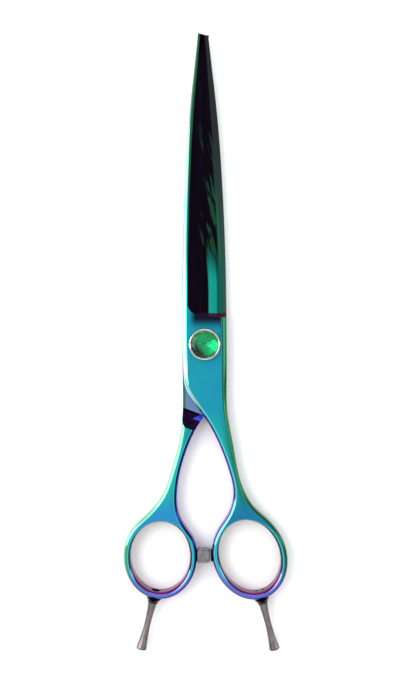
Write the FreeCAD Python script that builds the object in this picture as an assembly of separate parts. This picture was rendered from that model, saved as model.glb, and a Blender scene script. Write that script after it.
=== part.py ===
"""Thinning shears, closed: a plain front half and a toothed rear half that cross at an adjustable pivot.

Millimetres. +Y runs along the blades to the tips, +X to the side of the front half's ring, and +Z out of the
front faces. The origin is on the pivot axis, in the plane of the rear half's flat back face.

Both halves are drawn the same way, in the half frame: blade up, handle to +X, outer face at THICKNESS and
ride face (the one that meets the other half) below it. The front half stays there. The rear half is turned
over about the Y axis, which puts its outer face at z = 0 and its handle at -X.
"""
import FreeCAD, Part
import math
import os

from FreeCAD import Vector

# ---- overall sizes ----
THICKNESS = 6.2            # depth of both handles, and of the two stacked ricassos
RIDE_GAP = 0.10            # free space between the two ride faces
BLADE_TIP_Y = 112.0        # pivot axis to the plain blade's tip
HEEL_Y = 11.3              # pivot axis to the shoulder where the ground blade starts
RICASSO_HALF_WIDTH = 8.0
EDGE_ROUND = 1.0           # rounding of the handles' long edges

# ---- ground blade ----
SPINE_TOP_BASE = THICKNESS  # outer face height of the spine at the heel
SPINE_TOP_TIP = 4.9         # and at the tip
EDGE_LAND = 0.35            # thickness left at the cutting edge
SPINE_LAND_BASE = 1.8       # width of the polished strip along the spine at the heel
SPINE_LAND_TIP = 0.75
GRIND_CORNER = 3.0          # radius where the hollow grind runs out beside the spine
GRIND_HOLLOW = 0.12         # depth of the hollow below a flat grind
SHOULDER_LEAN = 1.2         # how far the shoulder's wall leans over its height

# ---- thinning teeth (rear half) ----
TOOTH_COUNT = 40
TOOTH_SHARE = 0.56          # share of the pitch that is tooth
TEETH_START_Y = 17.0
TEETH_END_MARGIN = 1.9      # solid tip above the last gap
BACK_WIDTH_BASE = 5.0       # solid back of the comb at the heel
BACK_WIDTH_TIP = 2.5
TIP_NOTCH_R = 0.30          # small round notch in each tooth's end

# ---- finger rings and shanks ----
RING_WALL = 2.5
RING_POINTS = 11
OUTLINE_TOLERANCE = 0.05
HANDLE_TOP = [(8.0, 4.0), (7.95, -14.0)]
HANDLE_TOP_INNER = [(-8.0, 4.0), (-7.85, -4.0), (-7.65, -10.5), (-7.1, -14.9)]
FRONT = {
    "ring": (15.95, -76.2), "long": 16.0, "short": 13.3, "tilt": 20.0,
    "outer": [(8.2, -24.9), (9.85, -34.4), (11.9, -45.9), (14.4, -53.5), (18.7, -59.7), (21.8, -62.4)],
    "outer_join": 114.0,
    "inner": [(-4.2, -20.3), (1.25, -28.3), (5.75, -37.5), (9.0, -46.9), (10.15, -53.4), (7.85, -61.9),
              (5.1, -66.0)],
    "inner_join": -112.0,
    "rest": (20.7, -93.6), "rest_stud": 4.6,
}
REAR = {
    "ring": (16.3, -76.2), "long": 15.3, "short": 13.25, "tilt": 0.0,
    "outer": [(8.0, -24.5), (9.4, -35.3), (12.1, -45.2), (15.5, -54.2), (21.0, -61.0)],
    "outer_join": 128.0,
    "inner": [(-4.0, -20.3), (2.4, -28.9), (6.5, -37.6), (9.15, -46.5), (10.15, -53.6), (9.3, -61.6),
              (6.6, -66.4)],
    "inner_join": -112.0,
    "rest": (19.2, -93.2), "rest_stud": 3.4,
}

# The cap closes the outline above the shoulder and is cut off.
CAP = [(-8.0, 11.0), (-7.0, 17.3), (-3.5, 20.3), (0.0, 20.9), (3.5, 20.3), (7.0, 17.3), (8.0, 11.0)]

# ---- step between the ride face and the full-depth shank ----
STEP_POINT = (7.1, -23.5)   # a point on the ramp's upper line, in the half frame
STEP_ANGLE = 21.0           # slope of that line
STEP_RUN = 5.8              # length of the ramp

# ---- pivot ----
STUD_HEAD_R = 4.7
STUD_HEAD_T = 1.0
STUD_R = 2.5
STUD_FLATS = 4.2
STUD_THREAD_R = 2.0
FIT = 0.05                  # radial clearance of every running or keyed fit
PRESS = 0.01                # radial clearance of the bush in its hole
BUSH_R = 3.5
GLIDE_R = 6.0
GLIDE_T = 0.46
GLIDE_HOLE_GAP = 0.3        # between the stud and the glide washer's hole
THRUST_R = 4.7
THRUST_T = 0.2
CONE_R = 4.4
CONE_T = 0.22
CONE_RISE = 0.28
LIFT = 0.03                 # free space between parts that turn on each other

# ---- tension dial and jewel ----
DIAL_R = 5.6
DIAL_H = 3.1
DIAL_RECESS_H = 0.62
DIAL_WEB_T = 1.15
DIAL_LIP = 0.7
DIAL_LIP_ROUND = 0.35
FLUTE_COUNT = 36
FLUTE_R = 0.22
FLUTE_TOP = 0.95            # flutes stop this far below the dial's top
LOCK_RING_R = 2.9
LOCK_RING_T = 0.5
JEWEL_R = DIAL_R - DIAL_LIP - 0.04
JEWEL_GIRDLE_T = 0.35
JEWEL_DOME = 0.85
JEWEL_PAVILION = 0.55
JEWEL_FACETS = 12
FOIL_T = 0.08

# ---- finger rests ----
REST_ANGLE = 14.0           # outward lean of each finger rest
REST_LENGTH = 17.3
REST_NECK_R = 1.65
REST_WAIST_R = 1.18
REST_END_R = 1.95
REST_STUD_R = 1.5
REST_END_ROUND = 0.35
BOSS_R = 2.6
BOSS_END_R = 1.85
BOSS_ROOT = 2.6             # how far the boss reaches back into the ring
SEAL_R = 1.9
SEAL_T = 0.5

# ---- bumper ----
BUMPER_Y = -76.2
BUMPER_R = 2.8
BUMPER_START_X = -2.9
BUMPER_END_X = 1.62
BUMPER_ROUND = 1.2
BUMPER_GAP = 0.3            # bumper to the front ring's pad when closed
PAD_R = 2.0
PAD_ROUND = 0.25
PAD_ROOT = 1.2              # how far the pad and the boss reach into the ring wall
BUMPER_STUD_R = 1.0
BUMPER_STUD_IN_RING = 2.0
BUMPER_STUD_IN_BUMPER = 2.6

# ---- derived levels ----
MID = THICKNESS / 2.0
RIDE_Z = MID + RIDE_GAP / 2.0          # ride face of the half frame
BIG = 400.0

# Blade outline, in the half frame: the spine's x and the cutting edge's x at a few heights.
SPINE = [(4.0, -8.0), (HEEL_Y, -8.0), (30.0, -7.75), (45.0, -7.3), (59.0, -6.65), (73.5, -5.75), (88.0, -4.5),
         (102.0, -2.95), (BLADE_TIP_Y, -1.9)]
EDGE = [(4.0, 7.6), (HEEL_Y, 6.85), (34.0, 6.1), (52.0, 4.9), (80.5, 2.75), (106.0, 0.7), (BLADE_TIP_Y, -0.1)]


def interpolate(table, y):
    """Monotone x at height y in a table of (y, x), by cubic Hermite spans."""
    if y <= table[0][0]:
        return table[0][1]
    for (y0, x0), (y1, x1) in zip(table, table[1:]):
        if y <= y1:
            break
    k = table.index((y0, x0))
    slope = (x1 - x0) / (y1 - y0)
    before = (x0 - table[k - 1][1]) / (y0 - table[k - 1][0]) if k else slope
    after = (table[k + 2][1] - x1) / (table[k + 2][0] - y1) if k + 2 < len(table) else slope
    m0, m1 = (before + slope) / 2.0, (after + slope) / 2.0
    h = y1 - y0
    t = (min(y, y1) - y0) / h
    return ((2 * t**3 - 3 * t**2 + 1) * x0 + (t**3 - 2 * t**2 + t) * h * m0
            + (3 * t**2 - 2 * t**3) * x1 + (t**3 - t**2) * h * m1)


def share(y):
    """How far up the ground blade a height is, from 0 at the heel to 1 at the tip."""
    return max(0.0, min(1.0, (y - HEEL_Y) / (BLADE_TIP_Y - HEEL_Y)))


def spine_top(y):
    return SPINE_TOP_BASE + (SPINE_TOP_TIP - SPINE_TOP_BASE) * share(y) ** 1.2


def spine_land(y):
    return SPINE_LAND_BASE + (SPINE_LAND_TIP - SPINE_LAND_BASE) * share(y)


def spine_round(y):
    return min(EDGE_ROUND, 0.75 * spine_land(y))


def line(a, b):
    return Part.makeLine(a, b)


def cylinder(radius, z0, z1, x=0.0, y=0.0):
    return Part.makeCylinder(radius, z1 - z0, Vector(x, y, z0))


def ring_solid(outer, inner, z0, z1):
    return cylinder(outer, z0, z1).cut(cylinder(inner, z0 - 1, z1 + 1))


def slab(points, z0, z1):
    """A prism on a closed polygon of (x, y) points."""
    wire = Part.makePolygon([Vector(x, y, z0) for x, y in points + points[:1]])
    return Part.Face(wire).extrude(Vector(0, 0, z1 - z0))


def revolve(profile, centre, axis):
    """A solid turned from (along, radius) points about an axis through centre."""
    side = axis.cross(Vector(0, 0, 1)).normalize()
    points = [centre + axis * s + side * r for s, r in profile]
    face = Part.Face(Part.makePolygon(points + points[:1]))
    return face.revolve(centre, axis, 360)


# ---- handles ----

def ring_frame(side, inset=0.0):
    """Centre of a half's ring, its long and short directions, and its half-axes moved inwards."""
    a = math.radians(side["tilt"])
    along, across = Vector(math.sin(a), -math.cos(a), 0), Vector(math.cos(a), math.sin(a), 0)
    return Vector(*side["ring"], 0), along, across, side["long"] - inset, side["short"] - inset


def ring_point(side, angle):
    """A point on the ring's outline. Angle 0 is the low end and 90 is the side away from the other ring."""
    centre, along, across, a, b = ring_frame(side)
    t = math.radians(angle)
    return centre + along * (a * math.cos(t)) + across * (b * math.sin(t))


def inner_limit(side):
    """Smallest x the ring reaches, on the side of the other ring."""
    a = math.radians(side["tilt"])
    return side["ring"][0] - math.hypot(side["long"] * math.sin(a), side["short"] * math.cos(a))


def ring_hole(side):
    """The finger hole, as a prism through the full depth."""
    centre, along, across, a, b = ring_frame(side, RING_WALL)
    outline = Part.Ellipse(centre + along * a, centre + across * b, centre)
    return Part.Face(Part.Wire(outline.toShape())).extrude(Vector(0, 0, THICKNESS))


def handle_outline(side):
    """A closed line of tangent arcs round the ricasso, shank and ring, with a cap above the shoulder."""
    turn = side["inner_join"] - side["outer_join"]
    loop = [ring_point(side, side["outer_join"] + turn * i / RING_POINTS) for i in range(RING_POINTS + 1)]
    outer = [Vector(x, y, 0) for x, y in HANDLE_TOP + side["outer"]]
    inner = [Vector(x, y, 0) for x, y in reversed(HANDLE_TOP_INNER + side["inner"])]
    cap = [Vector(x, y, 0) for x, y in CAP]
    curve = Part.BSplineCurve()
    curve.interpolate(Points=outer + loop + inner + cap, PeriodicFlag=True)
    arcs = curve.toBiArcs(OUTLINE_TOLERANCE)
    return Part.Wire(Part.__sortEdges__([arc.toShape() for arc in arcs]))


def handle_blank(side):
    """Ricasso, shank and ring at full depth, with rounded long edges."""
    body = Part.Face(handle_outline(side)).extrude(Vector(0, 0, THICKNESS)).cut(ring_hole(side))
    edges = [e for e in body.Edges if e.BoundBox.ZLength < 1e-3]
    body = body.makeFillet(EDGE_ROUND, edges)
    return body.cut(Part.makeBox(BIG, BIG, THICKNESS + 2, Vector(-BIG / 2, HEEL_Y, -1)))


# ---- blades ----

def blade_section(y):
    """Closed cross-section of the blade blank: ride face, spine with its rounding, and flat outer face."""
    left, right, top, r = interpolate(SPINE, y), interpolate(EDGE, y), spine_top(y), spine_round(y)
    mid = math.radians(45)
    a, b = Vector(left, y, RIDE_Z), Vector(left, y, top - r)
    c = Vector(left + r * (1 - math.cos(mid)), y, top - r * (1 - math.sin(mid)))
    d = Vector(left + r, y, top)
    e, f = Vector(right, y, top), Vector(right, y, RIDE_Z)
    rounding = Part.Arc(b, c, d).toShape()
    return Part.Wire([line(a, b), rounding, line(d, e), line(e, f), line(f, a)])


def grind_section(y):
    """Closed section of what the grinding takes off, from the spine land to past the cutting edge."""
    left, right, top = interpolate(SPINE, y) + spine_land(y), interpolate(EDGE, y), spine_top(y)
    low = RIDE_Z + EDGE_LAND
    past = right + 1.5
    drop = (low - top) / (right - left)
    a, c = Vector(left, y, top + 0.001), Vector(past, y, low + drop * (past - right))
    b = Vector((left + past) / 2.0, y, (a.z + c.z) / 2.0 - GRIND_HOLLOW)
    d, e = Vector(past, y, THICKNESS + 5), Vector(left, y, THICKNESS + 5)
    hollow = Part.Arc(a, b, c).toShape()
    return Part.Wire([hollow, line(c, d), line(d, e), line(e, a)])


def grind_region():
    """Plan of the grind with its round corner beside the spine, as a prism with a leaning shoulder wall."""
    r = GRIND_CORNER
    left = interpolate(SPINE, HEEL_Y) + SPINE_LAND_BASE
    inset = r * (1 - math.sqrt(0.5))
    high, low = Vector(left, HEEL_Y + r, 0), Vector(left + r, HEEL_Y, 0)
    middle = Vector(left + inset, HEEL_Y + inset, 0)
    tall, wide, beside = BLADE_TIP_Y + 20, RICASSO_HALF_WIDTH + 20, left - 2
    corners = [low, Vector(wide, HEEL_Y, 0), Vector(wide, tall, 0), Vector(beside, tall, 0),
               Vector(beside, HEEL_Y + r, 0), high]
    edges = [line(a, b) for a, b in zip(corners, corners[1:])] + [Part.Arc(high, middle, low).toShape()]
    prism = Part.Face(Part.Wire(edges)).extrude(Vector(0, 0, THICKNESS + 10))
    back = HEEL_Y - 9
    side_view = [(HEEL_Y, THICKNESS), (HEEL_Y + SHOULDER_LEAN, RIDE_Z), (back, RIDE_Z), (back, THICKNESS)]
    wedge = [Vector(-BIG, y, z) for y, z in side_view]
    lean = Part.Face(Part.makePolygon(wedge + wedge[:1])).extrude(Vector(2 * BIG, 0, 0))
    return prism.cut(lean)


def blade_heights(first):
    """Stations along the blade, a little closer together towards the tip."""
    count = 9
    return [first + (BLADE_TIP_Y + 0.6 - first) * (i / (count - 1)) ** 0.9 for i in range(count)]


def tip_cutter(points):
    """What is trimmed off above a blade's tip line, given from the spine side to the edge side."""
    (x0, y0), (x1, y1) = points[0], points[-1]
    left, right, above = x0 - 12, x1 + 14, BLADE_TIP_Y + 15
    outline = [(left, y0)] + points + [(right, y1), (right, above), (left, above)]
    return slab(outline, -1, THICKNESS + 1)


def blade(tip_points):
    """A ground blade, from inside the ricasso to its trimmed tip."""
    start = HEEL_Y - 2.0
    blank = Part.makeLoft([blade_section(y) for y in blade_heights(start)], True)
    grind = Part.makeLoft([grind_section(y) for y in blade_heights(start)], True)
    return blank.cut(grind.common(grind_region())).cut(tip_cutter(tip_points))


def tooth_gaps():
    """The gaps between the thinning teeth, each with a round root, and the notch in each tooth's end."""
    span = BLADE_TIP_Y - TEETH_END_MARGIN - TEETH_START_Y
    pitch = span / TOOTH_COUNT
    gap = pitch * (1 - TOOTH_SHARE)
    cuts = []
    for i in range(TOOTH_COUNT):
        y = TEETH_START_Y + (i + 0.5) * pitch
        back = BACK_WIDTH_BASE + (BACK_WIDTH_TIP - BACK_WIDTH_BASE) * share(y)
        root = interpolate(SPINE, y) + back + gap / 2
        cuts.append(cylinder(gap / 2, -1, THICKNESS + 1, root, y))
        cuts.append(Part.makeBox(BIG, gap, THICKNESS + 2, Vector(root, y - gap / 2, -1)))
        tooth_y = y + pitch / 2
        if i < TOOTH_COUNT - 1:
            cuts.append(cylinder(TIP_NOTCH_R, -1, THICKNESS + 1, interpolate(EDGE, tooth_y) + 0.05, tooth_y))
    return cuts


# ---- halves ----

def ride_cutter():
    """Everything on the ride side that makes way for the other half, with the ramp down the shank."""
    a = math.radians(STEP_ANGLE)
    along, up = Vector(math.cos(a), math.sin(a), 0), Vector(-math.sin(a), math.cos(a), 0)
    base = Vector(*STEP_POINT, 0) - along * BIG
    drop = RIDE_Z + 0.3
    run = STEP_RUN * drop / RIDE_Z
    profile = [(BIG, -1.0), (BIG, RIDE_Z), (0.0, RIDE_Z), (-run, RIDE_Z - drop), (-run, -1.0)]
    points = [base + up * s + Vector(0, 0, z) for s, z in profile]
    return Part.Face(Part.makePolygon(points + points[:1])).extrude(along * (2 * BIG))


def rest_axis(side):
    """Top centre and downward direction of a finger rest, in the half frame."""
    a = math.radians(REST_ANGLE)
    return Vector(*side["rest"], MID), Vector(math.sin(a), -math.cos(a), 0)


def rest_boss(side):
    centre, way = rest_axis(side)
    return revolve([(-SEAL_T - BOSS_ROOT, 0), (-SEAL_T - BOSS_ROOT, BOSS_R), (-SEAL_T - 1.2, BOSS_R),
                    (-SEAL_T, BOSS_END_R), (-SEAL_T, 0)], centre, way)


def pad(face_x, root_x):
    """A flat round pad on the ring's inner side, from its face to its root inside the ring wall."""
    body = Part.makeCylinder(PAD_R, root_x - face_x, Vector(face_x, BUMPER_Y, MID), Vector(1, 0, 0))
    rim = [e for e in body.Edges if abs(e.BoundBox.XMax - face_x) < 1e-6]
    return body.makeFillet(PAD_ROUND, rim)


def half(side, tip_points, pad_x):
    """One half in the half frame, before its own pivot bores and teeth."""
    body = handle_blank(side).fuse(blade(tip_points))
    body = body.fuse(rest_boss(side)).fuse(pad(pad_x, inner_limit(side) + PAD_ROOT))
    body = body.cut(ride_cutter())
    centre, way = rest_axis(side)
    thread = Part.makeCylinder(REST_STUD_R + FIT, BOSS_ROOT + 4, centre - way * (BOSS_ROOT + 3), way)
    return body.cut(thread)


def glide_pocket():
    depth = (GLIDE_T - RIDE_GAP) / 2.0 + LIFT
    return cylinder(GLIDE_R + 0.15, RIDE_Z - 1, RIDE_Z + depth)


def front_half():
    tip = [(-1.9, BLADE_TIP_Y + 0.1), (-1.2, BLADE_TIP_Y), (0.1, BLADE_TIP_Y - 0.35)]
    pad_x = BUMPER_END_X + BUMPER_GAP
    body = half(FRONT, tip, pad_x)
    body = body.cut(cylinder(BUSH_R + PRESS, 0, THICKNESS + 1)).cut(glide_pocket())
    return body


def double_d(radius, flats, z0, z1):
    return cylinder(radius, z0, z1).common(Part.makeBox(flats, 4 * radius, z1 - z0,
                                                        Vector(-flats / 2, -2 * radius, z0)))


def turn_over(shape):
    """Half frame to the rear half's place: half a turn about the Y direction at mid-depth."""
    copy = shape.copy()
    copy.rotate(Vector(0, 0, MID), Vector(0, 1, 0), 180)
    return copy


def rear_half():
    tip = [(-2.3, BLADE_TIP_Y - 0.8), (-1.9, BLADE_TIP_Y - 0.2), (-1.2, BLADE_TIP_Y), (0.1, BLADE_TIP_Y + 0.05)]
    body = half(REAR, tip, -BUMPER_START_X)
    head_seat = THICKNESS - STUD_HEAD_T - LIFT
    body = body.cut(double_d(STUD_R + FIT, STUD_FLATS + 2 * FIT, 0, THICKNESS))
    body = body.cut(cylinder(STUD_HEAD_R + FIT, head_seat, THICKNESS + 1)).cut(glide_pocket())
    stud_hole = Part.makeCylinder(BUMPER_STUD_R + FIT, BUMPER_STUD_IN_RING + 1,
                                  Vector(-BUMPER_START_X - 1, BUMPER_Y, MID), Vector(1, 0, 0))
    body = body.cut(stud_hole).cut(Part.makeCompound(tooth_gaps()))
    return turn_over(body)


# ---- pivot ----

def pivot_stud():
    """Flat head flush with the rear half's back, keyed flats, plain journal and thread."""
    keyed_top = MID - RIDE_GAP / 2
    head = cylinder(STUD_HEAD_R, 0, STUD_HEAD_T)
    key = double_d(STUD_R, STUD_FLATS, STUD_HEAD_T / 2, keyed_top)
    journal = cylinder(STUD_R, keyed_top, thrust_z())
    thread = cylinder(STUD_THREAD_R, keyed_top, stud_top())
    return head.fuse(key).fuse(journal).fuse(thread).removeSplitter()


def thrust_z():
    return THICKNESS + LIFT


def cone_z():
    return thrust_z() + THRUST_T + 0.01


def dial_z():
    return cone_z()


def web_z():
    return dial_z() + DIAL_RECESS_H


def cup_z():
    return web_z() + DIAL_WEB_T


def stud_top():
    return cup_z() - 0.1


def pivot_bush():
    low = RIDE_Z + (GLIDE_T - RIDE_GAP) / 2 + 2 * LIFT
    return ring_solid(BUSH_R, STUD_R + FIT, low, THICKNESS)


def glide_washer():
    return ring_solid(GLIDE_R, STUD_R + GLIDE_HOLE_GAP, MID - GLIDE_T / 2, MID + GLIDE_T / 2)


def thrust_washer():
    return ring_solid(THRUST_R, STUD_R + FIT, thrust_z(), thrust_z() + THRUST_T)


def cone_spring():
    """A shallow conical spring washer, outer edge down."""
    z = cone_z()
    inner = STUD_THREAD_R + 0.3
    points = [Vector(CONE_R, 0, z), Vector(CONE_R, 0, z + CONE_T), Vector(inner, 0, z + CONE_T + CONE_RISE),
              Vector(inner, 0, z + CONE_RISE)]
    return Part.Face(Part.makePolygon(points + points[:1])).revolve(Vector(0, 0, 0), Vector(0, 0, 1), 360)


def tension_dial():
    """Thumb nut: fluted side, round lip, spring recess below and jewel cup above."""
    z0, z1 = dial_z(), dial_z() + DIAL_H
    body = cylinder(DIAL_R, z0, z1)
    top = [e for e in body.Edges if abs(e.BoundBox.ZMin - z1) < 1e-6 and abs(e.BoundBox.ZMax - z1) < 1e-6]
    body = body.makeFillet(DIAL_LIP_ROUND, top)
    body = body.cut(cylinder(CONE_R + 0.25, z0 - 1, web_z())).cut(cylinder(STUD_THREAD_R + FIT, z0, z1))
    body = body.cut(cylinder(DIAL_R - DIAL_LIP, cup_z(), z1 + 1))
    body = body.cut(cylinder(LOCK_RING_R + PRESS, cup_z() - LOCK_RING_T, cup_z()))
    flutes = []
    for i in range(FLUTE_COUNT):
        a = 2 * math.pi * i / FLUTE_COUNT
        flutes.append(cylinder(FLUTE_R, z0 - 1, z1 - FLUTE_TOP, DIAL_R * math.cos(a), DIAL_R * math.sin(a)))
    return body.cut(Part.makeCompound(flutes))


def lock_ring():
    return ring_solid(LOCK_RING_R, STUD_THREAD_R + FIT / 2, cup_z() - LOCK_RING_T + PRESS, cup_z() - PRESS)


def pavilion(tip_z, rim_z, radius):
    """A shallow many-sided point, apex down."""
    turns = [2 * math.pi * i / JEWEL_FACETS for i in range(JEWEL_FACETS)]
    rim = [Vector(radius * math.cos(turn), radius * math.sin(turn), rim_z) for turn in turns]
    apex = Vector(0, 0, tip_z)
    faces = [Part.Face(Part.makePolygon([rim[i - 1], rim[i], apex, rim[i - 1]])) for i in range(JEWEL_FACETS)]
    faces.append(Part.Face(Part.makePolygon(rim + rim[:1])))
    return Part.Solid(Part.Shell(faces))


def jewel_levels():
    """Heights of the pavilion's point and of the girdle's two edges."""
    point = cup_z() + FOIL_T + 0.04
    return point, point + JEWEL_PAVILION, point + JEWEL_PAVILION + JEWEL_GIRDLE_T


def jewel():
    """Round glass stone: faceted point below, plain girdle, smooth dome above."""
    point, low, high = jewel_levels()
    r = JEWEL_R
    dome_radius = (r * r + JEWEL_DOME * JEWEL_DOME) / (2 * JEWEL_DOME)
    ball = Part.makeSphere(dome_radius, Vector(0, 0, high + JEWEL_DOME - dome_radius))
    dome = ball.common(cylinder(r, high, high + JEWEL_DOME + 1))
    return pavilion(point, low, r).fuse(cylinder(r, low, high)).fuse(dome).removeSplitter()


def jewel_foil():
    """The reflecting foil under the stone."""
    point, low, _ = jewel_levels()
    gap = 0.02
    slack = gap * 2
    outer = pavilion(point - gap - FOIL_T, low - gap, JEWEL_R - slack)
    shift = FOIL_T * 0.5
    inner_r = (JEWEL_R - slack) * (low + shift - point) / (low - point)
    inner = pavilion(point - gap, low - gap + shift, inner_r)
    return outer.cut(inner)


# ---- finger rests and bumper ----

def rest_profile(stud_length):
    """(along, radius) points of a finger rest: thread, shoulder, waist and flared end."""
    steps = 14
    pull = 2 * REST_WAIST_R - (REST_NECK_R + REST_END_R) / 2.0
    flare = []
    for i in range(steps + 1):
        t = i / steps
        radius = REST_NECK_R * (1 - t) ** 2 + 2 * pull * t * (1 - t) + REST_END_R * t ** 2
        flare.append((t * (REST_LENGTH - REST_END_ROUND), radius))
    tip_r = REST_END_R - REST_END_ROUND
    nose = [(REST_LENGTH - REST_END_ROUND * (1 - math.sin(a)), tip_r + REST_END_ROUND * math.cos(a))
            for a in (math.radians(30), math.radians(60), math.radians(90))]
    return [(-stud_length, 0), (-stud_length, REST_STUD_R - 0.25), (-stud_length + 0.25, REST_STUD_R),
            (0, REST_STUD_R)] + flare + nose + [(REST_LENGTH + 0.12, 0)]


def finger_rest(side):
    centre, way = rest_axis(side)
    return revolve(rest_profile(side["rest_stud"]), centre, way)


def rest_seal(side):
    centre, way = rest_axis(side)
    gap = 0.01
    inner = REST_STUD_R + FIT
    low, high = -SEAL_T + gap, -gap
    return revolve([(low, inner), (low, SEAL_R), (high, SEAL_R), (high, inner)], centre, way)


def bumper():
    """Rubber stop with a blind hole for its stud, in place on the rear ring."""
    x_axis = Vector(1, 0, 0)
    start = BUMPER_START_X + 0.01
    body = Part.makeCylinder(BUMPER_R, BUMPER_END_X - start, Vector(start, BUMPER_Y, MID), x_axis)
    far = [e for e in body.Edges if abs(e.BoundBox.XMin - BUMPER_END_X) < 1e-6]
    body = body.makeFillet(BUMPER_ROUND, far)
    near = [e for e in body.Edges if abs(e.BoundBox.XMax - start) < 1e-6]
    body = body.makeFillet(0.25, near)
    return body.cut(Part.makeCylinder(BUMPER_STUD_R + PRESS, BUMPER_STUD_IN_BUMPER + 1.1,
                                      Vector(start - 1, BUMPER_Y, MID), x_axis))


def bumper_stud():
    length = BUMPER_STUD_IN_RING + BUMPER_STUD_IN_BUMPER - 0.1
    start = Vector(BUMPER_START_X - BUMPER_STUD_IN_RING + 0.05, BUMPER_Y, MID)
    return Part.makeCylinder(BUMPER_STUD_R, length, start, Vector(1, 0, 0))


def build():
    return {
        "front_half": front_half(),
        "rear_half": rear_half(),
        "pivot_stud": pivot_stud(),
        "pivot_bush": pivot_bush(),
        "glide_washer": glide_washer(),
        "thrust_washer": thrust_washer(),
        "cone_spring": cone_spring(),
        "tension_dial": tension_dial(),
        "lock_ring": lock_ring(),
        "jewel": jewel(),
        "jewel_foil": jewel_foil(),
        "right_finger_rest": finger_rest(FRONT),
        "left_finger_rest": turn_over(finger_rest(REAR)),
        "right_rest_seal": rest_seal(FRONT),
        "left_rest_seal": turn_over(rest_seal(REAR)),
        "bumper": bumper(),
        "bumper_stud": bumper_stud(),
    }


os.makedirs("parts", exist_ok=True)
for name, shape in build().items():
    if not shape.isValid() or shape.Volume <= 0:
        print("CHECK", name, shape.isValid(), shape.Volume)
    shape.exportStep(os.path.join("parts", name + ".step"))
    box = shape.BoundBox
    print(f"{name:20s} solids {len(shape.Solids)} volume {shape.Volume:9.2f}  "
          f"x {box.XMin:7.2f} {box.XMax:7.2f}  y {box.YMin:7.2f} {box.YMax:7.2f}  "
          f"z {box.ZMin:6.2f} {box.ZMax:6.2f}")
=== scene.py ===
"""Looks of the closed thinning shears: rainbow-coated halves, jewelled dial, steel finger rests and bumper.

Shapes are written in millimetres in the half frame that the halves share: blade up, handle to +x, outer
face at THICKNESS. The front half stays there and the rear half is turned over about the y direction.
"""
import math

import bmesh
import bpy
import numpy as np
from mathutils import Matrix, Vector, geometry


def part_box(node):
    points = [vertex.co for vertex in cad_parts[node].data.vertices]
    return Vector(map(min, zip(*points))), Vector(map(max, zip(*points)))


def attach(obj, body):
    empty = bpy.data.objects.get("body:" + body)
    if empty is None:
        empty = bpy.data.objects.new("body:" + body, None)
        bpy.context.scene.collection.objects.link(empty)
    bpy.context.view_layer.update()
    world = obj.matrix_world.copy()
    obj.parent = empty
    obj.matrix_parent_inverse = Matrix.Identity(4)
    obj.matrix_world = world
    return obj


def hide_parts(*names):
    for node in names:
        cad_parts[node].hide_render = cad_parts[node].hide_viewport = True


MM = 0.001

# ---- sizes shared with the frame, in millimetres ----
THICKNESS = 6.2
RIDE_GAP = 0.10
MID = THICKNESS / 2
RIDE_Z = MID + RIDE_GAP / 2
BLADE_TIP_Y = 112.0
HEEL_Y = 11.3
RICASSO_HALF_WIDTH = 8.0
EDGE_LAND = 0.35
SPINE_TOP_TIP = 4.9
SPINE_LAND_BASE = 1.9
SPINE_LAND_TIP = 0.85
GRIND_CORNER = 3.4
GRIND_HOLLOW = 0.14
SHOULDER_TILT = 0.13
SHOULDER_LEAN = 0.62
RING_WALL = 2.5
RING_POINTS = 11
STEP_POINT = (7.1, -23.5)
STEP_ANGLE = 21.0
STEP_RUN = 5.8
TOOTH_COUNT = 40
TOOTH_SHARE = 0.56
TEETH_START_Y = 17.0
TEETH_END_MARGIN = 1.9
BACK_WIDTH_BASE = 5.0
BACK_WIDTH_TIP = 2.5
TIP_NOTCH_R = 0.30
STUD_HEAD_R = 4.7
STUD_HEAD_T = 1.0
STUD_R = 2.5
BUSH_R = 3.5
GLIDE_R = 6.0
GLIDE_DEPTH = 0.21
FIT = 0.05
PRESS = 0.01
REST_ANGLE = 14.0
REST_LENGTH = 17.3
REST_NECK_R = 1.65
REST_WAIST_R = 1.18
REST_END_R = 1.95
REST_STUD_R = 1.5
REST_END_ROUND = 0.35
THREAD_PITCH = 0.5
THREAD_DEPTH = 0.26
SEAL_R = 1.9
SEAL_T = 0.5
BOSS_R = 2.75
BOSS_END_R = 1.85
BUMPER_Y = -76.2
BUMPER_R = 2.8
BUMPER_ROUND = 1.2
PAD_R = 2.35
DIAL_R = 5.6
DIAL_LIP = 0.7
DIAL_RECESS_H = 0.62
DIAL_RECESS_R = 4.65
DIAL_HOLE_R = 2.1
DIAL_CUP_H = 1.77
DIAL_FLUTES = 36
DIAL_FLUTE_DEPTH = 0.2
STONE_FACETS = 24
STONE_PAVILION_H = 0.62
STONE_GIRDLE_T = 0.3
FLOOR_DROP = 0.6
CAMERA_DISTANCE = 300.0
VIEW_HEIGHT = 244.07
CAMERA_TURN = 0.27
CAMERA_Y = 1.47

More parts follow.
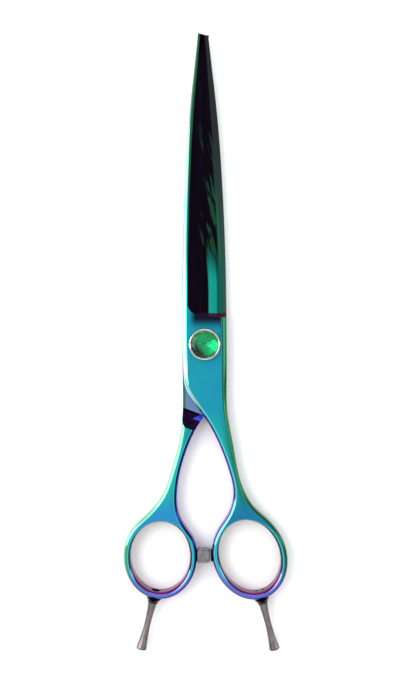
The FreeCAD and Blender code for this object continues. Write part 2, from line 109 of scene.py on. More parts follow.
HANDLE_TOP = [(8.0, 4.0), (7.95, -14.0)]
HANDLE_TOP_INNER = [(-8.0, 4.0), (-7.85, -4.0), (-7.65, -10.5), (-7.1, -14.9)]
FRONT = {
    "name": "front_half", "body": "front",
    "ring": (15.95, -76.2), "long": 16.0, "short": 13.3, "tilt": 20.0,
    "outer": [(8.2, -24.9), (9.85, -34.4), (11.9, -45.9), (14.4, -53.5), (18.7, -59.7), (21.8, -62.4)],
    "outer_join": 114.0,
    "inner": [(-4.2, -20.3), (1.25, -28.3), (5.75, -37.5), (9.0, -46.9), (10.15, -53.4), (7.85, -61.9),
              (5.1, -66.0)],
    "inner_join": -112.0,
    "rest": (20.7, -93.6), "rest_stud": 4.6, "pad_x": 1.92,
    "tip": [(-1.9, 112.1), (-1.2, 112.05), (8.0, 112.0)],
}
REAR = {
    "name": "rear_half", "body": "rear",
    "ring": (16.3, -76.2), "long": 15.3, "short": 13.25, "tilt": 0.0,
    "outer": [(8.0, -24.5), (9.4, -35.3), (12.1, -45.2), (15.5, -54.2), (21.0, -61.0)],
    "outer_join": 128.0,
    "inner": [(-4.0, -20.3), (2.4, -28.9), (6.5, -37.6), (9.15, -46.5), (10.15, -53.6), (9.3, -61.6),
              (6.6, -66.4)],
    "inner_join": -112.0,
    "rest": (19.2, -93.2), "rest_stud": 3.4, "pad_x": 2.9,
    "tip": [(-2.2, 111.8), (-1.9, 112.0), (-1.2, 112.1), (8.0, 112.1)],
}
CAP = [(-8.0, 11.0), (-7.0, 17.3), (-3.5, 20.3), (0.0, 20.9), (3.5, 20.3), (7.0, 17.3), (8.0, 11.0)]
# The blade's back and the comb's cutting edge as (y, x). The plain edge is wider at the tip.
SPINE = [(4.0, -8.0), (HEEL_Y, -8.0), (30.0, -7.75), (45.0, -7.3), (59.0, -6.65), (73.5, -5.75), (88.0, -4.5),
         (102.0, -2.95), (BLADE_TIP_Y, -1.9)]
EDGE = [(4.0, 7.6), (HEEL_Y, 6.85), (34.0, 6.1), (52.0, 4.9), (80.5, 2.75), (106.0, 0.7), (BLADE_TIP_Y, -0.1)]
PLAIN_EDGE = EDGE[:-2] + [(106.0, 1.05), (BLADE_TIP_Y, 0.6)]

# Rounding of the long edges: its width and depth on the pivot area, the shank, the ring and the blade's tip.
ROUND_RICASSO = (2.0, 1.5)
ROUND_SHANK = (1.35, 1.5)
ROUND_RING = (1.2, 1.5)
ROUND_TIP = (0.5, 0.5)
ROUND_STEPS = 9
OUTLINE_SPACING = 0.6

# Faces of a half, by finish.
SATIN, POLISHED, GROUND, RIDE, DARK = range(5)


# ---- small helpers ----

def smoothstep(low, high, x):
    t = np.clip((x - low) / (high - low), 0.0, 1.0)
    return t * t * (3 - 2 * t)


def interpolate(table, y):
    """Monotone x at height y in a table of (y, x), by cubic Hermite spans."""
    if y <= table[0][0]:
        return table[0][1]
    k = max(i for i in range(len(table) - 1) if table[i][0] <= y)
    (y0, x0), (y1, x1) = table[k], table[k + 1]
    slope = (x1 - x0) / (y1 - y0)
    before = (x0 - table[k - 1][1]) / (y0 - table[k - 1][0]) if k else slope
    after = (table[k + 2][1] - x1) / (table[k + 2][0] - y1) if k + 2 < len(table) else slope
    m0, m1 = (before + slope) / 2, (after + slope) / 2
    h = y1 - y0
    t = (min(y, y1) - y0) / h
    return ((2 * t**3 - 3 * t**2 + 1) * x0 + (t**3 - 2 * t**2 + t) * h * m0
            + (3 * t**2 - 2 * t**3) * x1 + (t**3 - t**2) * h * m1)


def share(y):
    return float(np.clip((y - HEEL_Y) / (BLADE_TIP_Y - HEEL_Y), 0, 1))


def spine_top(y):
    return THICKNESS + (SPINE_TOP_TIP - THICKNESS) * share(y) ** 1.2


def spine_land(y):
    return SPINE_LAND_BASE + (SPINE_LAND_TIP - SPINE_LAND_BASE) * share(y) ** 2


def new_object(name, vertices, faces, materials, face_materials=None):
    """A mesh object from points in millimetres."""
    mesh = bpy.data.meshes.new(name)
    mesh.from_pydata([tuple(c * MM for c in v) for v in vertices], [], faces)
    for material in materials:
        mesh.materials.append(material)
    if face_materials is not None:
        mesh.polygons.foreach_set("material_index", face_materials)
    mesh.validate()
    made = bpy.data.objects.new(name, mesh)
    bpy.context.scene.collection.objects.link(made)
    return made


def recalculate_normals(target):
    b = bmesh.new()
    b.from_mesh(target.data)
    bmesh.ops.remove_doubles(b, verts=b.verts, dist=1e-7)
    bmesh.ops.recalc_face_normals(b, faces=b.faces)
    b.to_mesh(target.data)
    b.free()


def boolean(target, cutter, operation="DIFFERENCE"):
    """Applies an exact boolean to target and removes the cutter."""
    modifier = target.modifiers.new("cut", "BOOLEAN")
    modifier.operation = operation
    modifier.solver = "EXACT"
    modifier.object = cutter
    modifier.material_mode = "INDEX"
    bpy.context.view_layer.update()
    evaluated = target.evaluated_get(bpy.context.evaluated_depsgraph_get())
    mesh = bpy.data.meshes.new_from_object(evaluated)
    target.modifiers.clear()
    target.data = mesh
    bpy.data.objects.remove(cutter)


def finish_shading(target, sharp_degrees=24.0):
    """Smooth faces, sharp creases and flat faces that stay flat to their borders."""
    target.data.polygons.foreach_set("use_smooth", [True] * len(target.data.polygons))
    target.data.set_sharp_from_angle(angle=math.radians(sharp_degrees))
    weighted = target.modifiers.new("weighted_normals", "WEIGHTED_NORMAL")
    weighted.keep_sharp = True
    weighted.weight = 100


def lathe(name, profile, centre, axis, materials, segments=96, radius_of=None, face_material=None):
    """A turned piece. profile is (along, radius) points; radius_of may change the radius by angle."""
    axis = Vector(axis).normalized()
    side = axis.orthogonal().normalized()
    other = axis.cross(side)
    centre = Vector(centre)
    vertices, faces, kinds = [], [], []
    for s, r in profile:
        for k in range(segments):
            a = 2 * math.pi * k / segments
            rr = r if radius_of is None else radius_of(s, r, a)
            vertices.append(centre + axis * s + side * (rr * math.cos(a)) + other * (rr * math.sin(a)))
    for i in range(len(profile) - 1):
        for k in range(segments):
            n = (k + 1) % segments
            faces.append((i * segments + k, i * segments + n, (i + 1) * segments + n, (i + 1) * segments + k))
            kinds.append(face_material(i) if face_material else 0)
    made = new_object(name, vertices, faces, materials, kinds)
    recalculate_normals(made)
    return made


# ---- outline of a half ----

def closed_spline_tangents(points):
    """Tangents of the smooth closed cubic through points, with chord-length spans, and the spans' lengths."""
    n = len(points)
    h = np.linalg.norm(np.roll(points, -1, 0) - points, axis=1)
    matrix, right = np.zeros((n, n)), np.zeros((n, 2))
    for i in range(n):
        before, after = (i - 1) % n, (i + 1) % n
        matrix[i, before] += h[i]
        matrix[i, i] += 2 * (h[before] + h[i])
        matrix[i, after] += h[before]
        right[i] = 3 * ((points[after] - points[i]) * h[before] / h[i]
                        + (points[i] - points[before]) * h[i] / h[before])
    return np.linalg.solve(matrix, right), h


def ring_frame(side):
    a = math.radians(side["tilt"])
    return np.array(side["ring"]), np.array([math.sin(a), -math.cos(a)]), np.array([math.cos(a), math.sin(a)])


def ring_point(side, degrees, inset=0.0):
    centre, along, across = ring_frame(side)
    t = math.radians(degrees)
    return (centre + along * ((side["long"] - inset) * math.cos(t))
            + across * ((side["short"] - inset) * math.sin(t)))


def handle_line(side):
    """Points down the outer side, round the ring and up the inner side."""
    turn = side["inner_join"] - side["outer_join"]
    loop = [tuple(ring_point(side, side["outer_join"] + turn * i / RING_POINTS))
            for i in range(RING_POINTS + 1)]
    outer, inner = HANDLE_TOP + side["outer"], list(reversed(HANDLE_TOP_INNER + side["inner"]))
    points = np.array(outer + loop + inner + CAP)
    tangents, h = closed_spline_tangents(points)
    line = []
    for i in range(len(outer + loop + inner) - 1):
        steps = max(2, round(h[i] / OUTLINE_SPACING))
        for k in range(steps):
            t = k / steps
            line.append((2 * t**3 - 3 * t**2 + 1) * points[i] + (t**3 - 2 * t**2 + t) * h[i] * tangents[i]
                        + (3 * t**2 - 2 * t**3) * points[i + 1] + (t**3 - t**2) * h[i] * tangents[i + 1])
    line.append(points[len(outer + loop + inner) - 1])
    return line


def blank_outline(side):
    """Closed outline of the blank: handle, spine up to the tip line, and a straight right side."""
    line = handle_line(side)
    tip = side["tip"]
    steps = 150
    start, end = HANDLE_TOP[0][1], tip[0][1]
    for i in range(1, steps + 1):
        y = start + (end - start) * i / steps
        line.append(np.array([interpolate(SPINE, y), y]))
    line[-1] = np.array(tip[0])
    line += [np.array(p) for p in tip[1:]]
    top = tip[-1][1]
    for i in range(1, steps):
        line.append(np.array([RICASSO_HALF_WIDTH, top + (start - top) * i / steps]))
    return np.array(line)


def round_size(points, tip):
    """Width and depth of the edge rounding at each outline point."""
    y = points[:, 1]
    blade = smoothstep(HEEL_Y, BLADE_TIP_Y, y)
    shank = smoothstep(-12.0, -30.0, y)
    ring = smoothstep(-52.0, -62.0, y)
    sizes = []
    for k in (0, 1):
        value = ROUND_RICASSO[k] + (ROUND_SHANK[k] - ROUND_RICASSO[k]) * shank
        value = value + (ROUND_RING[k] - ROUND_SHANK[k]) * ring
        sizes.append(value + (ROUND_TIP[k] - ROUND_RICASSO[k]) * blade)
    tip_left = np.min(np.linalg.norm(points[:, None] - np.array(tip)[None], axis=2), axis=1)
    ground_away = (points[:, 0] > RICASSO_HALF_WIDTH - 0.5) & (y > HEEL_Y)
    keep = np.where(ground_away, 1 - smoothstep(HEEL_Y, HEEL_Y + 8, y), 1.0) * smoothstep(0.0, 2.5, tip_left)
    return [0.02 + size * keep for size in sizes]


def inward_normals(points):
    """Unit normals that point into a closed loop's area, for a loop that runs clockwise or the other way."""
    forward = np.roll(points, -1, 0) - np.roll(points, 1, 0)
    forward /= np.linalg.norm(forward, axis=1)[:, None]
    normal = np.stack([-forward[:, 1], forward[:, 0]], axis=1)
    x, y = points[:, 0], points[:, 1]
    area = np.sum(x * np.roll(y, -1) - np.roll(x, -1) * y)
    return normal if area > 0 else -normal


def rounded_wall(points, inward, width, depth):
    """Loops from the outer face's border, round the edge, down the wall and round to the back."""
    loops = []
    for k in range(ROUND_STEPS + 1):
        a = math.pi / 2 * (1 - k / ROUND_STEPS)
        offset, drop = 1 - math.cos(a), 1 - math.sin(a)
        flat = points + inward * (width * offset)[:, None]
        loops.append(np.column_stack([flat, THICKNESS - depth * drop]))
    for k in range(ROUND_STEPS + 1):
        a = math.pi / 2 * k / ROUND_STEPS
        offset, drop = 1 - math.cos(a), 1 - math.sin(a)
        flat = points + inward * (width * offset)[:, None]
        loops.append(np.column_stack([flat, depth * drop]))
    return loops


def taper_blade(vertices):
    """Lowers the outer face along the blade towards its tip."""
    for v in vertices:
        if v[1] > HEEL_Y and v[2] > RIDE_Z:
            v[2] = RIDE_Z + (v[2] - RIDE_Z) * (spine_top(v[1]) - RIDE_Z) / (THICKNESS - RIDE_Z)


def ring_hole_loop(side, border, count=220):
    """The finger hole's outline, with a rounding that fades out by the web and stays clear of border."""
    degrees = np.linspace(0, 360, count, endpoint=False)
    points = np.array([ring_point(side, d, RING_WALL) for d in degrees])
    from_web = np.abs((degrees - 180 + 12 + 180) % 360 - 180)
    width = 0.35 + (ROUND_RING[0] - 0.35) * smoothstep(12.0, 62.0, from_web)
    depth = 0.45 + (ROUND_RING[1] - 0.45) * smoothstep(12.0, 62.0, from_web)
    clear = np.min(np.linalg.norm(points[:, None] - border[None], axis=2), axis=1)
    return points, np.minimum(width, clear - 0.12), depth


def add_strips(loops, vertices, faces, kinds):
    """Joins loops of equal length with quads."""
    n = len(loops[0])
    first = len(vertices)
    for loop in loops:
        vertices.extend([list(p) for p in loop])
    for i in range(len(loops) - 1):
        for k in range(n):
            m = (k + 1) % n
            low, high = first + i * n, first + (i + 1) * n
            faces.append((low + k, low + m, high + m, high + k))
            kinds.append(POLISHED)
    return [first + k for k in range(n)], [first + (len(loops) - 1) * n + k for k in range(n)]


def add_flat(outer, hole, vertices, faces, kinds):
    """Fills between an outer loop and a hole loop. A triangle with all its corners on the hole is in it."""
    index = outer + hole
    flat = [Vector(vertices[i][:2]) for i in index]
    n, m = len(outer), len(hole)
    edges = [(k, (k + 1) % n) for k in range(n)] + [(n + k, n + (k + 1) % m) for k in range(m)]
    _, _, out_faces, origins, _, _ = geometry.delaunay_2d_cdt(flat, edges, [], 1, 1e-6)
    for face in out_faces:
        corners = [origins[i][0] for i in face]
        if min(corners) < n:
            faces.append(tuple(index[i] for i in corners))
            kinds.append(SATIN)


def blank(side, materials):
    """The half before grinding: full depth, rounded edges and finger hole."""
    outline = blank_outline(side)
    inward = inward_normals(outline)
    width, depth = round_size(outline, side["tip"])
    hole, hole_width, hole_depth = ring_hole_loop(side, outline + inward * width[:, None])
    away = -inward_normals(hole)
    vertices, faces, kinds = [], [], []
    top, bottom = add_strips(rounded_wall(outline, inward, width, depth), vertices, faces, kinds)
    hole_wall = rounded_wall(hole, away, hole_width, hole_depth)
    hole_top, hole_bottom = add_strips(hole_wall, vertices, faces, kinds)
    add_flat(top, hole_top, vertices, faces, kinds)
    add_flat(bottom, hole_bottom, vertices, faces, kinds)
    taper_blade(vertices)
    made = new_object(side["name"] + "_coated", vertices, faces, materials, kinds)
    recalculate_normals(made)
    return made


# ---- cutters ----

def loft_closed(name, sections, materials, kinds_of, end_kind):
    """A closed solid through equal-length sections, with flat ends."""
    n = len(sections[0])
    vertices = [p for section in sections for p in section]
    faces, kinds = [], []
    for i in range(len(sections) - 1):
        for k in range(n):
            m = (k + 1) % n
            faces.append((i * n + k, i * n + m, (i + 1) * n + m, (i + 1) * n + k))
            kinds.append(kinds_of(k))
    last = (len(sections) - 1) * n
    faces += [tuple(range(n)), tuple(last + k for k in range(n))]
    kinds += [end_kind, end_kind]
    made = new_object(name, vertices, faces, materials, kinds)
    recalculate_normals(made)
    return made


def grind_cutter(edge, materials):
    """What grinding takes off: the hollow face, all past the edge, and the round-cornered shoulder."""
    arc_points, corner_steps, blade_steps = 18, 14, 90
    far, high = 14.0, THICKNESS + 4
    corner_end, last = HEEL_Y + GRIND_CORNER, BLADE_TIP_Y + 3
    stations = [HEEL_Y + GRIND_CORNER * (1 - math.cos(math.pi / 2 * i / corner_steps))
                for i in range(corner_steps)]
    stations += [corner_end + (last - corner_end) * i / blade_steps
                 for i in range(blade_steps + 1)]
    sections = []
    for y in stations:
        left, right, top = interpolate(SPINE, y) + spine_land(y), interpolate(edge, y), spine_top(y)
        low = RIDE_Z + EDGE_LAND
        into = max(0.0, 1 - (y - HEEL_Y) / GRIND_CORNER)
        start = left + GRIND_CORNER * (1 - math.sqrt(max(0.0, 1 - into * into)))
        fade = smoothstep(HEEL_Y + 2.5 * GRIND_CORNER, HEEL_Y, y)
        section = []
        for k in range(arc_points + 1):
            x = start + (right - start) * k / arc_points
            t = (x - left) / (right - left)
            z = top + (low - top) * t - 4 * GRIND_HOLLOW * t * (1 - t)
            section.append((x, z))
        section += [(right, RIDE_Z - 1), (far, RIDE_Z - 1), (far, high), (start, high)]
        sections.append([(x, y + fade * (SHOULDER_LEAN * (THICKNESS - z) - SHOULDER_TILT * (x - left)), z)
                         for x, z in section])
    return loft_closed("grind", sections, materials, lambda k: GROUND if k < arc_points else POLISHED, GROUND)


def ride_cutter(materials):
    """Makes way for the other half on the ride side, with the ramp down the shank."""
    a = math.radians(STEP_ANGLE)
    along, up = Vector((math.cos(a), math.sin(a), 0)), Vector((-math.sin(a), math.cos(a), 0))
    base = Vector((*STEP_POINT, 0)) - along * 60
    drop = RIDE_Z + 0.3
    run = STEP_RUN * drop / RIDE_Z
    bend = 0.9
    ramp = [(bend * 0.5, RIDE_Z), (bend * 0.1, RIDE_Z - 0.05), (-bend * 0.5, RIDE_Z - 0.28)]
    profile = [(200, -1.0), (200, RIDE_Z)] + ramp + [(-run, RIDE_Z - drop), (-run, -1.0)]
    sections = [[base + along * s + up * u + Vector((0, 0, z)) for u, z in profile] for s in (0, 120)]
    return loft_closed("ride", sections, materials, lambda k: RIDE if k == 1 else DARK, DARK)


def prism(points, z0, z1):
    n = len(points)
    vertices = [(x, y, z0) for x, y in points] + [(x, y, z1) for x, y in points]
    faces = [tuple(reversed(range(n))), tuple(range(n, 2 * n))]
    faces += [(k, (k + 1) % n, n + (k + 1) % n, n + k) for k in range(n)]
    return vertices, faces


def circle(x, y, r, count=32):
    return [(x + r * math.cos(2 * math.pi * k / count), y + r * math.sin(2 * math.pi * k / count))
            for k in range(count)]


def prisms_object(name, outlines, z0, z1, materials, kind=POLISHED):
    vertices, faces = [], []
    for outline in outlines:
        v, f = prism(outline, z0, z1)
        faces += [tuple(i + len(vertices) for i in face) for face in f]
        vertices += v
    made = new_object(name, vertices, faces, materials, [kind] * len(faces))
    recalculate_normals(made)
    return made


def teeth_cutter(materials):
    """The gaps between the thinning teeth, with round roots, and the small notch in each tooth's end."""
    pitch = (BLADE_TIP_Y - TEETH_END_MARGIN - TEETH_START_Y) / TOOTH_COUNT
    half_gap = pitch * (1 - TOOTH_SHARE) / 2
    outlines = []
    for i in range(TOOTH_COUNT):
        y = TEETH_START_Y + (i + 0.5) * pitch
        back = BACK_WIDTH_BASE + (BACK_WIDTH_TIP - BACK_WIDTH_BASE) * share(y)
        root = interpolate(SPINE, y) + back + half_gap
        arc = [math.radians(90 + 180 * k / 10) for k in range(11)]
        outlines.append([(root + half_gap * math.cos(a), y + half_gap * math.sin(a)) for a in arc]
                        + [(12, y - half_gap), (12, y + half_gap)])
        tooth_y = y + pitch / 2
        if i < TOOTH_COUNT - 1:
            outlines.append(circle(interpolate(EDGE, tooth_y) + 0.05, tooth_y, TIP_NOTCH_R, 14))
    return prisms_object("gaps", outlines, -1, THICKNESS + 1, materials)


def rest_axis(side):
    a = math.radians(REST_ANGLE)
    return Vector((*side["rest"], MID)), Vector((math.sin(a), -math.cos(a), 0))


def boss_union(target, side, materials):
    """The tapered boss under the finger rest and the flat pad for the bumper, joined to the ring."""
    centre, way = rest_axis(side)
    flare = [(-3.2, 0.02), (-3.2, BOSS_R + 0.1), (-2.1, BOSS_R + 0.1), (-1.8, BOSS_R),
             (-1.5, BOSS_R - 0.16),
             (-1.2, BOSS_R - 0.36), (-0.9, BOSS_R - 0.58), (-0.64, BOSS_END_R + 0.1),
             (-0.56, BOSS_END_R + 0.05),
             (-SEAL_T, BOSS_END_R - 0.06), (-SEAL_T, 0.02)]
    boss = lathe("boss", flare, centre, way, materials, 64, face_material=lambda i: DARK)
    close_poles(boss)
    boolean(target, boss, "UNION")
    face = side["pad_x"]
    rounded = [(0, 0.02), (0, PAD_R - 0.3), (0.1, PAD_R - 0.1), (0.3, PAD_R), (1.6, PAD_R), (1.6, 0.02)]
    pad = lathe("pad", rounded, (face, BUMPER_Y, MID), (1, 0, 0), materials, 64, face_material=lambda i: DARK)
    close_poles(pad)
    boolean(target, pad, "UNION")


def close_poles(target):
    """Closes the small end holes of a turned piece."""
    b = bmesh.new()
    b.from_mesh(target.data)
    bmesh.ops.holes_fill(b, edges=b.edges, sides=0)
    bmesh.ops.recalc_face_normals(b, faces=b.faces)
    b.to_mesh(target.data)
    b.free()


def stud_bore(side, materials):
    centre, way = rest_axis(side)
    radius = REST_STUD_R + FIT
    bore = lathe("bore", [(-6.2, 0.02), (-6.2, radius), (0.5, radius), (0.5, 0.02)],
                 centre, way, materials, 48, face_material=lambda i: POLISHED)
    close_poles(bore)
    return bore


def turn_over(target):
    """Half frame to the rear half's place."""
    target.data.transform(Matrix.Translation((0, 0, THICKNESS * MM)) @ Matrix.Rotation(math.pi, 4, "Y"))


def coated_half(side, materials, rear):
    made = blank(side, materials)
    boss_union(made, side, materials)
    boolean(made, ride_cutter(materials))
    boolean(made, grind_cutter(EDGE if rear else PLAIN_EDGE, materials))
    boolean(made, stud_bore(side, materials))
    if rear:
        boolean(made, teeth_cutter(materials))
        head = prisms_object("head", [circle(0, 0, STUD_HEAD_R + FIT, 72)], THICKNESS - STUD_HEAD_T - 0.03,
                             THICKNESS + 1, materials)
        boolean(made, head)
        boolean(made, prisms_object("key", [circle(0, 0, STUD_R + FIT, 48)], 0, THICKNESS + 1, materials))
    else:
        boolean(made, prisms_object("bore", [circle(0, 0, BUSH_R + PRESS, 64)], 0, THICKNESS + 1, materials))
    boolean(made, prisms_object("glide", [circle(0, 0, GLIDE_R + 0.15, 72)], RIDE_Z - 1, RIDE_Z + GLIDE_DEPTH,
                                materials))
    recalculate_normals(made)
    if rear:
        turn_over(made)
    finish_shading(made)
    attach(made, side["body"])
    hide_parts(side["name"])
    return made


# ---- materials ----

class Nodes:
    """Short ways to add shader nodes."""

    def __init__(self, name):
        self.material = bpy.data.materials.new(name)
        self.material.use_nodes = True
        self.tree = self.material.node_tree
        self.shader = self.tree.nodes["Principled BSDF"]

    def add(self, kind, **settings):
        node = self.tree.nodes.new(kind)
        for key, value in settings.items():
            setattr(node, key, value)
        return node

    def link(self, source, target):
        self.tree.links.new(source, target)

    def object_place(self):
        return self.add("ShaderNodeTexCoord").outputs["Object"]

    def normal(self):
        return self.add("ShaderNodeTexCoord").outputs["Normal"]

    def split(self, vector):
        node = self.add("ShaderNodeSeparateXYZ")
        self.link(vector, node.inputs[0])
        return node.outputs

    def math(self, operation, a, b=None, c=None, clamp=False):
        node = self.add("ShaderNodeMath", operation=operation, use_clamp=clamp)
        for socket, value in zip(node.inputs, (a, b, c)):
            if value is None:
                continue
            if isinstance(value, (int, float)):
                socket.default_value = value
            else:
                self.link(value, socket)
        return node.outputs[0]

    def map(self, value, low, high, to_low=0.0, to_high=1.0):
        node = self.add("ShaderNodeMapRange", interpolation_type="SMOOTHSTEP")
        self.link(value, node.inputs["Value"])
        for name, v in (("From Min", low), ("From Max", high), ("To Min", to_low), ("To Max", to_high)):
            node.inputs[name].default_value = v
        return node.outputs["Result"]

    def sheared(self, x, y, slant, squeeze):
        """Coordinates that stretch a pattern into strokes which lean off the y direction."""
        node = self.add("ShaderNodeCombineXYZ")
        self.link(self.math("MULTIPLY_ADD", y, slant, x), node.inputs["X"])
        self.link(self.math("MULTIPLY", y, squeeze), node.inputs["Y"])
        return node.outputs[0]

    def noise(self, place, scale, detail=2.0, roughness=0.5, stretch=(1, 1, 1)):
        mapping = self.add("ShaderNodeMapping")
        mapping.inputs["Scale"].default_value = stretch
        self.link(place, mapping.inputs["Vector"])
        node = self.add("ShaderNodeTexNoise")
        node.inputs["Scale"].default_value = scale
        node.inputs["Detail"].default_value = detail
        node.inputs["Roughness"].default_value = roughness
        self.link(mapping.outputs[0], node.inputs["Vector"])
        return node.outputs["Fac"]

    def ramp(self, value, stops):
        node = self.add("ShaderNodeValToRGB")
        elements = node.color_ramp.elements
        while len(elements) < len(stops):
            elements.new(0.5)
        for element, (place, colour) in zip(elements, stops):
            element.position = place
            element.color = (*linear(colour), 1)
        self.link(value, node.inputs[0])
        return node.outputs["Color"]

    def mix(self, factor, a, b, blend="MIX"):
        node = self.add("ShaderNodeMix", data_type="RGBA", blend_type=blend)
        for socket, value in ((node.inputs["Factor"], factor), (node.inputs[6], a), (node.inputs[7], b)):
            if isinstance(value, (int, float)):
                socket.default_value = value
            elif isinstance(value, tuple):
                socket.default_value = (*linear(value), 1)
            else:
                self.link(value, socket)
        return node.outputs[2]

    def bump(self, height, distance, strength=1.0):
        node = self.add("ShaderNodeBump")
        node.inputs["Strength"].default_value = strength
        node.inputs["Distance"].default_value = distance
        self.link(height, node.inputs["Height"])
        self.link(node.outputs[0], self.shader.inputs["Normal"])

    def set(self, **values):
        for name, value in values.items():
            socket = self.shader.inputs[name.replace("_", " ")]
            if isinstance(value, (int, float)):
                socket.default_value = value
            elif isinstance(value, tuple):
                socket.default_value = (*linear(value), 1)
            else:
                self.link(value, socket)


def linear(colour):
    """Scene-linear values of an sRGB colour given as 0 to 255."""
    shares = [c / 255 for c in colour]
    return tuple(c / 12.92 if c <= 0.04045 else ((c + 0.055) / 1.055) ** 2.4 for c in shares)


def satin_coat():
    """Bead-blasted flat faces: teal, green on the shanks, blue on the webs, with a painted dark reflection
    below the shoulder and painted shade by the right edge of the pivot area.
    """
    n = Nodes("satin_rainbow_coat")
    place = n.object_place()
    x, y, _ = n.split(place)
    drift = n.noise(place, 160, 3)
    base = n.mix(n.map(drift, 0.35, 0.65), (22, 144, 158), (26, 136, 164))
    across = n.math("ADD", x, n.math("MULTIPLY", y, n.map(x, -0.002, 0.002, -0.21, 0.21)))
    green = n.mix(n.map(across, -0.0016, 0.0022), (34, 166, 150), (20, 104, 84))
    base = n.mix(n.map(y, -0.020, -0.040), base, green)
    web = n.mix(n.map(x, -0.003, 0.003), (42, 134, 186), (28, 116, 152))
    base = n.mix(n.map(y, -0.050, -0.062), base, web)
    # Painted dark reflection: the flat face turns blue-black below the shoulder.
    shade = n.math("MULTIPLY", n.map(y, 0.0045, 0.0095), n.map(x, -0.0064, -0.0030))
    # Painted shade: a darker teal strip along the right edge of the pivot area.
    edge_shade = n.math("MULTIPLY", n.map(y, -0.001, 0.004), n.map(x, 0.0048, 0.0062, 0.0, 0.5))
    base = n.mix(edge_shade, base, (10, 52, 60))
    base = n.mix(shade, base, (4, 14, 34))
    base = n.mix(n.map(y, 0.018, 0.055), base, (34, 76, 52))
    fine = n.noise(place, 5200, 2, 0.6)
    base = n.mix(n.map(fine, 0.3, 0.7, 0.0, 0.25), base, n.mix(1.0, base, (190, 200, 210), "MULTIPLY"))
    n.set(Base_Color=base, Metallic=0.9, Roughness=n.map(fine, 0.2, 0.8, 0.34, 0.46))
    n.bump(fine, 0.000012, 0.6)
    return n.material


def polished_coat():
    """Mirror-polished rounded edges, whose colour runs through green or violet as they turn sideways, with
    painted light: painted white highlights on left-facing edges, and right-facing edges painted darker with
    painted dark reflection lines.
    """
    n = Nodes("polished_rainbow_coat")
    place = n.object_place()
    x, y, _ = n.split(place)
    nx, ny, nz = n.split(n.normal())
    turned = n.math("SQRT", n.math("SUBTRACT", 1.0, n.math("MULTIPLY", nz, nz), clamp=True))
    side = n.map(x, -0.003, 0.003, -1.0, 1.0)
    outward = n.math("MULTIPLY", nx, side)
    # Painted highlight: the near-white stops of these ramps for left-facing outer edges paint in the
    # highlight of a lamp on the left.
    cyan_coat_and_painted_highlight = n.ramp(turned, [(0.0, (34, 150, 156)), (0.12, (30, 130, 110)), (0.3, (84, 200, 214)),
                                (0.55, (226, 250, 252)), (0.75, (190, 240, 244)), (1.0, (92, 178, 184))])
    green_coat_and_painted_highlight = n.ramp(turned, [(0.0, (38, 160, 136)), (0.25, (64, 160, 116)), (0.5, (100, 196, 140)),
                                 (0.72, (140, 222, 156)), (0.88, (130, 196, 150)), (1.0, (110, 150, 140))])
    left = n.mix(n.map(y, -0.016, -0.032), cyan_coat_and_painted_highlight, green_coat_and_painted_highlight)
    # Painted shade and painted reflection: outer edges that face right are darker, with dark painted
    # reflection lines.
    right = n.ramp(turned, [(0.0, (24, 122, 112)), (0.12, (22, 84, 62)), (0.28, (36, 112, 74)),
                            (0.5, (32, 88, 58)), (0.62, (20, 56, 34)), (0.82, (64, 104, 76)),
                            (1.0, (84, 100, 92))])
    # Painted light by side: left-facing outer edges take the highlighted ramps, right-facing ones the darker
    # ramp.
    outer = n.mix(n.map(nx, -0.15, 0.15), left, right)
    # Painted highlight: the bright cyan stop here paints in the lamp's highlight on inner edges that face
    # left.
    inner_left_coat_and_painted_highlight = n.ramp(turned, [(0.0, (36, 168, 186)), (0.3, (96, 210, 226)), (0.55, (84, 150, 214)),
                                 (0.8, (92, 84, 186)), (1.0, (126, 62, 150))])
    # Painted shade: inner edges that face right turn navy.
    inner_right_coat_and_painted_shade = n.ramp(turned, [(0.0, (40, 176, 188)), (0.15, (60, 196, 200)), (0.35, (16, 54, 110)),
                                  (0.6, (28, 34, 96)), (0.85, (74, 56, 160)), (1.0, (88, 40, 112))])
    inner = n.mix(n.map(nx, -0.15, 0.15), inner_left_coat_and_painted_highlight, inner_right_coat_and_painted_shade)
    colour = n.mix(n.map(outward, -0.1, 0.15), inner, outer)
    from_x = n.math("SUBTRACT", n.math("ABSOLUTE", x), (FRONT["ring"][0] + REAR["ring"][0]) / 2 * MM)
    from_y = n.math("SUBTRACT", y, FRONT["ring"][1] * MM)
    away = n.math("ADD", n.math("MULTIPLY", n.math("MULTIPLY", from_x, side), nx),
                  n.math("MULTIPLY", from_y, ny))
    hole = n.math("MULTIPLY", n.map(away, 0.001, -0.003), n.map(y, -0.054, -0.060))
    wall = n.ramp(turned, [(0.0, (40, 168, 184)), (0.3, (66, 200, 206)), (0.55, (40, 120, 130)),
                           (0.78, (78, 30, 84)), (1.0, (108, 52, 38))])
    colour = n.mix(hole, colour, wall)
    low = n.map(y, -0.078, -0.0885)
    under = n.ramp(turned, [(0.0, (60, 130, 196)), (0.35, (96, 84, 200)), (0.6, (130, 44, 160)),
                            (0.85, (150, 30, 116)), (1.0, (112, 44, 84))])
    colour = n.mix(n.math("MULTIPLY", low, 0.85), colour, under)
    # Painted highlight: the bright middle stops of the blade ramps paint in the lamp's highlight along the
    # spine.
    lower_blade = n.ramp(turned, [(0.0, (24, 72, 62)), (0.3, (40, 112, 96)), (0.6, (130, 206, 196)),
                                  (0.85, (116, 196, 192)), (1.0, (84, 150, 150))])
    upper_blade = n.ramp(turned, [(0.0, (30, 44, 30)), (0.25, (84, 140, 100)), (0.6, (120, 196, 148)),
                                  (0.88, (124, 190, 160)), (1.0, (80, 124, 108))])
    colour = n.mix(n.math("MULTIPLY", n.map(y, 0.012, 0.036), 0.9), colour, lower_blade)
    colour = n.mix(n.math("MULTIPLY", n.map(y, 0.040, 0.090), 0.9), colour, upper_blade)
    wear = n.noise(place, 900, 3)
    n.set(Base_Color=colour, Metallic=1.0, Roughness=n.map(wear, 0.2, 0.8, 0.07, 0.13))
    n.bump(n.noise(place, 2600, 2), 0.000004, 0.4)
    return n.material


